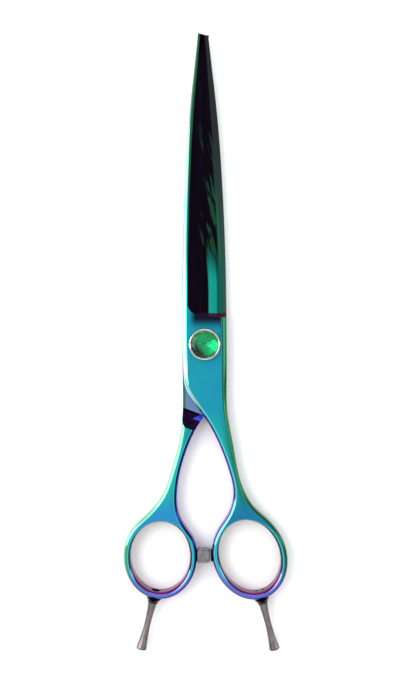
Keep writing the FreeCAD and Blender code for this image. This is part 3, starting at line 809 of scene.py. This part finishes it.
def ground_coat():
    """The mirror-ground face: near-black violet, which paints in the dark reflection of the room, with
    painted green reflection strokes, a painted teal reflection streak by the heel, a painted green reflection
    along the spine edge, and a red-violet shoulder.
    """
    n = Nodes("mirror_ground_coat")
    place = n.object_place()
    x, y, _ = n.split(place)
    _, ny, _ = n.split(n.normal())
    lines = n.noise(place, 420, 3, 0.6, (1, 0.03, 1))
    wave = n.noise(place, 110, 2, 0.5, (1, 0.35, 1))
    sway = n.math("MULTIPLY", n.math("SUBTRACT", wave, 0.5), n.map(y, 0.018, 0.045, 0.0, 0.008))
    middle = n.math("ADD", x, sway)
    to_edge = n.math("ADD", x, n.math("MULTIPLY_ADD", n.math("MULTIPLY", y, y), 0.55, -0.0069))
    # Painted reflection: a teal streak across the blade by the heel, fading up the blade.
    teal_painted_reflection = n.math("MULTIPLY", n.map(middle, 0.0013, 0.0019), n.map(y, 0.036, 0.022))
    strokes = n.noise(n.sheared(x, y, 0.22, 0.11), 620, 2, 0.55)
    # Painted reflection: thin green strokes up the lower blade.
    green_painted_reflections = n.math("MULTIPLY", n.map(strokes, 0.54, 0.63), n.map(y, 0.100, 0.060))
    green_painted_reflections = n.math("MULTIPLY", green_painted_reflections, n.math("MULTIPLY", n.map(x, -0.0025, 0.001), n.map(y, 0.026, 0.036)))
    # Painted reflection: a green band along the spine edge of the ground face.
    rim = n.math("MULTIPLY", n.map(to_edge, -0.0016, -0.0008), n.map(y, 0.080, 0.040))
    # Near-black violet with grinding lines; the near-black paints in the dark reflection of the room.
    colour = n.mix(n.map(lines, 0.35, 0.7, 0.0, 0.6), (14, 8, 16), (18, 13, 30))
    colour = n.mix(n.math("MULTIPLY", green_painted_reflections, 0.85), colour, (30, 72, 52))
    colour = n.mix(n.math("MULTIPLY", rim, 0.9), colour, (34, 100, 72))
    # Colours of the painted teal reflection streak.
    teal = n.mix(n.map(middle, 0.0040, 0.0050), (24, 166, 150), (18, 92, 78))
    colour = n.mix(n.math("MULTIPLY", teal_painted_reflection, n.map(lines, 0.25, 0.6, 0.65, 1.0)), colour, teal)
    colour = n.mix(n.map(ny, 0.35, 0.6), colour, (122, 26, 74))
    n.set(Base_Color=colour, Metallic=1.0, Roughness=n.map(ny, 0.35, 0.6, 0.07, 0.42))
    n.bump(lines, 0.000006, 0.4)
    return n.material


def ride_coat():
    """The flat inside face: satin violet-blue by the crossing, grey-green along the blade, with worn arcs."""
    n = Nodes("ride_face_coat")
    place = n.object_place()
    x, y, _ = n.split(place)
    length = n.add("ShaderNodeVectorMath", operation="LENGTH")
    n.link(place, length.inputs[0])
    arcs = n.add("ShaderNodeTexNoise", noise_dimensions="1D")
    arcs.inputs["Scale"].default_value = 2400
    n.link(length.outputs["Value"], arcs.inputs["W"])
    fine = n.noise(place, 4200, 2)
    handle = n.mix(n.map(fine, 0.3, 0.7), (88, 118, 158), (102, 128, 168))
    along = n.mix(n.map(y, 0.012, 0.080), (48, 76, 74), (36, 38, 39))
    handle = n.mix(n.map(x, -0.0067, -0.0073), handle, (36, 104, 80))
    colour = n.mix(n.map(y, -0.002, 0.010), handle, along)
    near_pivot = n.map(y, 0.020, 0.010, 0.1, 1.0)
    worn = n.math("MULTIPLY", n.map(arcs.outputs["Fac"], 0.55, 0.75, 0.0, 0.25), near_pivot)
    colour = n.mix(worn, colour, (120, 124, 130))
    n.set(Base_Color=colour, Metallic=0.9, Roughness=n.map(fine, 0.2, 0.8, 0.26, 0.38))
    n.bump(worn, 0.000006, 0.4)
    return n.material


def dark_coat():
    """The thick, almost black film on the ramps, the bosses and the bumper pads."""
    n = Nodes("dark_violet_coat")
    place = n.object_place()
    x, y, _ = n.split(place)
    cloud = n.noise(place, 700, 2)
    colour = n.mix(n.map(cloud, 0.35, 0.7), (8, 3, 14), (16, 6, 30))
    over = n.math("ADD", y, n.math("MULTIPLY_ADD", x, -0.5, 0.0245))
    under = n.math("ADD", y, n.math("MULTIPLY_ADD", x, 0.35, 0.0283))
    blue = n.math("MULTIPLY", n.map(over, 0.0001, -0.0002), n.map(under, -0.0001, 0.0002))
    colour = n.mix(blue, colour, (38, 44, 136))
    n.set(Base_Color=colour, Metallic=1.0, Roughness=n.map(cloud, 0.2, 0.8, 0.10, 0.18))
    n.bump(cloud, 0.000005, 0.3)
    return n.material


def steel(name, colour, rough, scale=1500, stretch=(1, 1, 1), depth=0.000008, painted_side_shade=None):
    """Bare metal with machining lines; when a shade colour is given, faces that turn sideways are darkened
    towards it as painted shade.
    """
    n = Nodes(name)
    place = n.object_place()
    lines = n.noise(place, scale, 3, 0.6, stretch)
    blotch = n.noise(place, 260, 2)
    base = n.mix(n.map(blotch, 0.3, 0.7), colour, tuple(c * 0.86 for c in colour))
    if painted_side_shade:
        # Painted shade: faces that turn sideways darken towards the given colour.
        _, _, nz = n.split(n.normal())
        base = n.mix(n.map(nz, 0.80, 0.35), base, painted_side_shade)
    n.set(Base_Color=base, Metallic=1.0, Roughness=n.map(lines, 0.25, 0.75, rough * 0.8, rough * 1.25))
    n.bump(lines, depth, 0.6)
    return n.material


def rubber(name, colour, rough):
    n = Nodes(name)
    place = n.object_place()
    grain = n.noise(place, 2200, 3, 0.6)
    base = n.mix(n.map(grain, 0.3, 0.7), colour, tuple(min(255, c * 1.15) for c in colour))
    n.set(Base_Color=base, Roughness=n.map(grain, 0.2, 0.8, rough * 0.85, rough * 1.1))
    n.bump(grain, 0.00001, 0.4)
    return n.material


def bumper_rubber():
    """Slightly clear grey rubber."""
    n = Nodes("clear_grey_rubber")
    place = n.object_place()
    cloud = n.noise(place, 420, 3)
    base = n.mix(n.map(cloud, 0.3, 0.7), (94, 92, 95), (130, 128, 131))
    n.set(Base_Color=base, Roughness=n.map(cloud, 0.2, 0.8, 0.2, 0.32), Subsurface_Weight=0.3,
          Subsurface_Scale=0.0012)
    n.bump(n.noise(place, 1800, 2), 0.00001, 0.3)
    return n.material


def jewel_glass():
    n = Nodes("green_glass")
    place = n.object_place()
    cloud = n.noise(place, 300, 2)
    base = n.mix(n.map(cloud, 0.3, 0.7), (40, 216, 168), (56, 226, 182))
    n.set(Base_Color=base, Roughness=0.02, Transmission_Weight=1.0, IOR=1.36)
    return n.material


def jewel_mirror():
    n = Nodes("jewel_foil")
    place = n.object_place()
    crinkle = n.noise(place, 1400, 3)
    base = n.mix(n.map(crinkle, 0.3, 0.7), (18, 190, 150), (8, 150, 108))
    x, y, _ = n.split(place)
    # Painted shade: the foil darkens towards the lower left.
    lower_left_painted_shade = n.math("MULTIPLY_ADD", y, 0.75, x)
    base = n.mix(n.map(lower_left_painted_shade, -0.0012, -0.0040), base, (3, 40, 26))
    n.set(Base_Color=base, Metallic=1.0, Roughness=n.map(crinkle, 0.2, 0.8, 0.12, 0.25))
    n.bump(crinkle, 0.00003, 0.5)
    return n.material


def dress_cad_node(node, material):
    """Gives a CAD node that is shown as it is a better material."""
    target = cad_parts[node]
    target.data.materials.clear()
    target.data.materials.append(material)
    for slot in target.material_slots:
        slot.material = material


# ---- dial, rests and bumper ----

def tension_dial(material):
    """Thumb nut: smooth round lip, fluted side, jewel cup and spring recess."""
    low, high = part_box("tension_dial")
    z0, z1 = low.z / MM, high.z / MM
    radius, lip = DIAL_R, DIAL_LIP
    web, cup = z0 + DIAL_RECESS_H, z0 + DIAL_CUP_H
    profile = [(web, DIAL_HOLE_R), (web, DIAL_RECESS_R), (z0, DIAL_RECESS_R), (z0, radius - 0.12),
               (z0 + 0.12, radius),
               (z1 - 1.0, radius), (z1 - 0.9, radius)]
    for k in range(9):
        a = math.pi * k / 8
        profile.append((z1 - lip / 2 + lip / 2 * math.sin(a), radius - lip / 2 + lip / 2 * math.cos(a)))
    profile += [(z1 - 0.75, radius - lip), (cup, radius - lip), (cup, DIAL_HOLE_R), (web, DIAL_HOLE_R)]

    def fluted(s, r, a):
        on_side = z0 + 0.1 < s < z1 - 0.95 and r > radius - 0.05
        flute = DIAL_FLUTE_DEPTH * max(0.0, math.cos(DIAL_FLUTES * a)) ** 2
        return r - flute if on_side else r

    made = lathe("tension_dial_turned", profile, (0, 0, 0), (0, 0, 1), [material], 432, fluted)
    finish_shading(made, 30)
    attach(made, "dial")
    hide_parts("tension_dial")


def stone(glass):
    """Round stone: smooth dome, girdle and a two-tier faceted pavilion."""
    low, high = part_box("jewel")
    radius = high.x / MM
    top, bottom = high.z / MM, low.z / MM
    girdle = bottom + STONE_PAVILION_H
    rise = top - girdle - STONE_GIRDLE_T
    facets = STONE_FACETS

    def pavilion():
        tiers = [(0.0, bottom), (0.52, bottom + 0.2), (1.0, girdle)]
        vertices, faces = [(0, 0, tiers[0][1])], []
        for tier, (share_of, z) in enumerate(tiers[1:]):
            for k in range(facets):
                a = 2 * math.pi * (k + 0.5 * tier) / facets
                vertices.append((radius * share_of * math.cos(a), radius * share_of * math.sin(a), z))
        for k in range(facets):
            m = (k + 1) % facets
            faces.append((0, 1 + m, 1 + k))
            faces.append((1 + k, 1 + m, 1 + facets + k))
            faces.append((1 + m, 1 + facets + m, 1 + facets + k))
        return vertices, faces

    vertices, faces = pavilion()
    ring = list(range(1 + facets, 1 + 2 * facets))
    rows = 12
    first = len(vertices)
    for row in range(rows):
        t = math.pi / 2 * row / rows
        r, z = radius * math.cos(t * 0.98), girdle + STONE_GIRDLE_T + rise * math.sin(t)
        for k in range(facets):
            a = 2 * math.pi * (k + 0.5) / facets
            vertices.append((r * math.cos(a), r * math.sin(a), z))
    vertices.append((0, 0, girdle + STONE_GIRDLE_T + rise))
    rows_of = [ring]
    rows_of += [list(range(first + row * facets, first + (row + 1) * facets)) for row in range(rows)]
    for a_row, b_row in zip(rows_of, rows_of[1:]):
        for k in range(facets):
            m = (k + 1) % facets
            faces.append((a_row[k], a_row[m], b_row[m], b_row[k]))
    faces += [(rows_of[-1][k], rows_of[-1][(k + 1) % facets], len(vertices) - 1) for k in range(facets)]
    made = new_object("jewel_cut", vertices, faces, [glass])
    recalculate_normals(made)
    dome_from = (girdle + 0.25) * MM
    made.data.polygons.foreach_set("use_smooth", [p.center.z > dome_from for p in made.data.polygons])
    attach(made, "dial")
    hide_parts("jewel")


def finger_rest(side, name, body, material):
    """Flared rest with its threaded stud, domed end and a fine chamfer at the shoulder."""
    centre, way = rest_axis(side)
    stud = side["rest_stud"]
    steps = 40
    pull = 2 * REST_WAIST_R - (REST_NECK_R + REST_END_R) / 2
    profile = [(-stud, 0.02), (-stud, REST_STUD_R - 0.45), (-stud + 0.2, REST_STUD_R - 0.25)]
    thread_steps = int((stud - 0.5) / THREAD_PITCH * 10)
    for i in range(thread_steps + 1):
        s = -stud + 0.2 + (stud - 0.7) * i / thread_steps
        profile.append((s, REST_STUD_R))
    profile += [(-0.45, REST_STUD_R - 0.3), (-0.05, REST_STUD_R - 0.3), (0, REST_STUD_R - 0.3),
                (0, REST_NECK_R - 0.12), (0.12, REST_NECK_R)]
    for i in range(1, steps + 1):
        t = i / steps
        radius = REST_NECK_R * (1 - t) ** 2 + 2 * pull * t * (1 - t) + REST_END_R * t ** 2
        profile.append((t * (REST_LENGTH - REST_END_ROUND), radius))
    for k in range(1, 7):
        a = math.pi / 2 * k / 6
        profile.append((REST_LENGTH - REST_END_ROUND * (1 - math.sin(a)),
                        REST_END_R - REST_END_ROUND * (1 - math.cos(a))))
    profile += [(REST_LENGTH + 0.07, 0.9), (REST_LENGTH + 0.12, 0.02)]

    def threaded(s, r, a):
        if s < -stud + 0.15 or s > -0.48 or r < REST_STUD_R - 0.01:
            return r
        turn = (s / THREAD_PITCH - a / (2 * math.pi)) % 1.0
        fade = min(1.0, (s + stud - 0.1) / 0.4, (-0.45 - s) / 0.3)
        return r - THREAD_DEPTH * max(0.0, fade) * (1 - abs(2 * turn - 1))

    made = lathe(name + "_turned", profile, centre, way, [material], 72, threaded)
    close_poles(made)
    if side is REAR:
        turn_over(made)
    finish_shading(made, 35)
    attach(made, body)
    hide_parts(name)


def rest_seal(side, name, body, material):
    """Thin black washer, crowned at its rim."""
    centre, way = rest_axis(side)
    inner, mid = REST_STUD_R + 0.05, -SEAL_T / 2
    half = SEAL_T / 2 - 0.01
    profile = [(mid - half, inner), (mid - half, SEAL_R - 0.2)]
    for k in range(1, 8):
        a = math.radians(-90 + 180 * k / 8)
        profile.append((mid + half * math.sin(a), SEAL_R - 0.2 + 0.2 * math.cos(a)))
    profile += [(mid + half, SEAL_R - 0.2), (mid + half, inner), (mid - half, inner)]
    made = lathe(name + "_turned", profile, centre, way, [material], 72)
    if side is REAR:
        turn_over(made)
    finish_shading(made, 35)
    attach(made, body)
    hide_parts(name)


def bumper(material):
    """Moulded rubber stop: square shoulder by the ring and a soft round nose."""
    low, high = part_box("bumper")
    x0, x1 = low.x / MM, high.x / MM
    profile = [(0, 0.02), (0, BUMPER_R - 0.3), (0.06, BUMPER_R - 0.1), (0.3, BUMPER_R), (1.2, BUMPER_R)]
    length = x1 - x0
    for k in range(11):
        a = math.pi / 2 * k / 10
        profile.append((length - BUMPER_ROUND * (1 - math.sin(a)),
                        BUMPER_R - BUMPER_ROUND * (1 - math.cos(a))))
    profile += [(length, 0.9), (length - 0.12, 0.7), (length - 0.15, 0.02)]
    made = lathe("bumper_moulded", profile, (x0, BUMPER_Y, MID), (1, 0, 0), [material], 96)
    close_poles(made)
    finish_shading(made, 35)
    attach(made, "rear")
    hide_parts("bumper")


# ---- stage, light and camera ----

def stage_floor():
    mesh = bpy.data.meshes.new("floor")
    size, drop = 3.0, -FLOOR_DROP * MM
    mesh.from_pydata([(-size, -size, drop), (size, -size, drop), (size, size, drop), (-size, size, drop)], [],
                     [(0, 1, 2, 3)])
    floor = bpy.data.objects.new("floor", mesh)
    bpy.context.scene.collection.objects.link(floor)
    n = Nodes("pale_floor")
    n.set(Base_Color=(250, 250, 250), Roughness=0.9)
    n.shader.inputs["Specular IOR Level"].default_value = 0.1
    mesh.materials.append(n.material)


def soft_light(name, place, target, size, power, colour=(1, 1, 1)):
    data = bpy.data.lights.new(name, "AREA")
    data.shape = "RECTANGLE"
    data.size, data.size_y = size
    data.energy = power
    data.color = colour
    light = bpy.data.objects.new(name, data)
    light.location = place
    light.rotation_euler = (Vector(target) - Vector(place)).to_track_quat("-Z", "Y").to_euler()
    bpy.context.scene.collection.objects.link(light)


def lights():
    soft_light("key_left", (-0.55, 0.10, 0.42), (0, 0.01, 0), (0.4, 0.9), 4.8)
    soft_light("fill_right", (0.75, 0.05, 0.35), (0, 0, 0), (0.2, 0.8), 1.4)
    soft_light("top_back", (0.05, 0.75, 0.55), (0, 0, 0), (0.8, 0.3), 1.6)
    world = bpy.data.worlds.new("studio")
    bpy.context.scene.world = world
    world.use_nodes = True
    background = world.node_tree.nodes["Background"]
    nodes, links = world.node_tree.nodes, world.node_tree.links
    height = nodes.new("ShaderNodeSeparateXYZ")
    links.new(nodes.new("ShaderNodeTexCoord").outputs["Generated"], height.inputs[0])
    rise = nodes.new("ShaderNodeMapRange")
    rise.interpolation_type = "SMOOTHSTEP"
    links.new(height.outputs["Z"], rise.inputs["Value"])
    for name, value in (("From Min", 0.12), ("From Max", 0.62), ("To Min", 0.10), ("To Max", 1.12)):
        rise.inputs[name].default_value = value
    seen = nodes.new("ShaderNodeMix")
    links.new(nodes.new("ShaderNodeLightPath").outputs["Is Camera Ray"], seen.inputs["Factor"])
    links.new(rise.outputs["Result"], seen.inputs["A"])
    seen.inputs["B"].default_value = 1.0
    links.new(seen.outputs["Result"], background.inputs["Strength"])
    background.inputs["Color"].default_value = (0.97, 0.985, 1.0, 1)


def camera():
    """Straight above the shears, a hand's length and a half away, with the slight turn they lie at."""
    turn = math.radians(CAMERA_TURN)
    data = bpy.data.cameras.new("camera")
    data.sensor_fit = "VERTICAL"
    data.sensor_height = 24.0
    data.lens = data.sensor_height * CAMERA_DISTANCE / VIEW_HEIGHT
    data.clip_start = 0.01
    made = bpy.data.objects.new("camera", data)
    made.location = Vector((0.0, CAMERA_Y * MM, (THICKNESS + CAMERA_DISTANCE) * MM))
    made.rotation_euler = (0, 0, -turn)
    bpy.context.scene.collection.objects.link(made)
    bpy.context.scene.camera = made
    bpy.context.scene.view_settings.view_transform = "Standard"


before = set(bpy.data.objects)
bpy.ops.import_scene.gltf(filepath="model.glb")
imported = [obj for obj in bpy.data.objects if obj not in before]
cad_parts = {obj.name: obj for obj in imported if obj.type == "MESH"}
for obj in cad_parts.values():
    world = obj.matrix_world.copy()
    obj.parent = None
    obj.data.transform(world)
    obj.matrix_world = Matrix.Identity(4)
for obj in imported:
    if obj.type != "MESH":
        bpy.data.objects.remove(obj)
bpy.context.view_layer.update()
finishes = [satin_coat(), polished_coat(), ground_coat(), ride_coat(), dark_coat()]
coated_half(FRONT, finishes, rear=False)
coated_half(REAR, finishes, rear=True)
bright_steel = steel("turned_steel", (130, 122, 119), 0.27, 2600, (1, 3, 1))
# The last colour here is painted shade on the dial's sideways faces.
tension_dial(steel("polished_nickel", (214, 208, 204), 0.06, 900, (1, 1, 1), 0.000002, (52, 46, 50)))
stone(jewel_glass())
dress_cad_node("jewel_foil", jewel_mirror())
finger_rest(FRONT, "right_finger_rest", "right_rest", bright_steel)
finger_rest(REAR, "left_finger_rest", "left_rest", bright_steel)
rest_seal(FRONT, "right_rest_seal", "right_rest", rubber("black_rubber", (18, 18, 20), 0.5))
rest_seal(REAR, "left_rest_seal", "left_rest", rubber("black_rubber_left", (18, 18, 20), 0.5))
bumper(bumper_rubber())
dress_cad_node("pivot_stud", steel("stud_steel", (150, 150, 152), 0.28))
dress_cad_node("pivot_bush", steel("sintered_bronze", (176, 132, 74), 0.4))
dress_cad_node("glide_washer", rubber("white_ptfe", (224, 224, 220), 0.45))
dress_cad_node("thrust_washer", steel("washer_steel", (165, 165, 165), 0.3))
dress_cad_node("cone_spring", steel("spring_steel", (120, 112, 100), 0.35))
dress_cad_node("lock_ring", rubber("white_nylon", (212, 210, 200), 0.5))
dress_cad_node("bumper_stud", steel("pin_steel", (160, 160, 160), 0.3))
stage_floor()
lights()
camera()
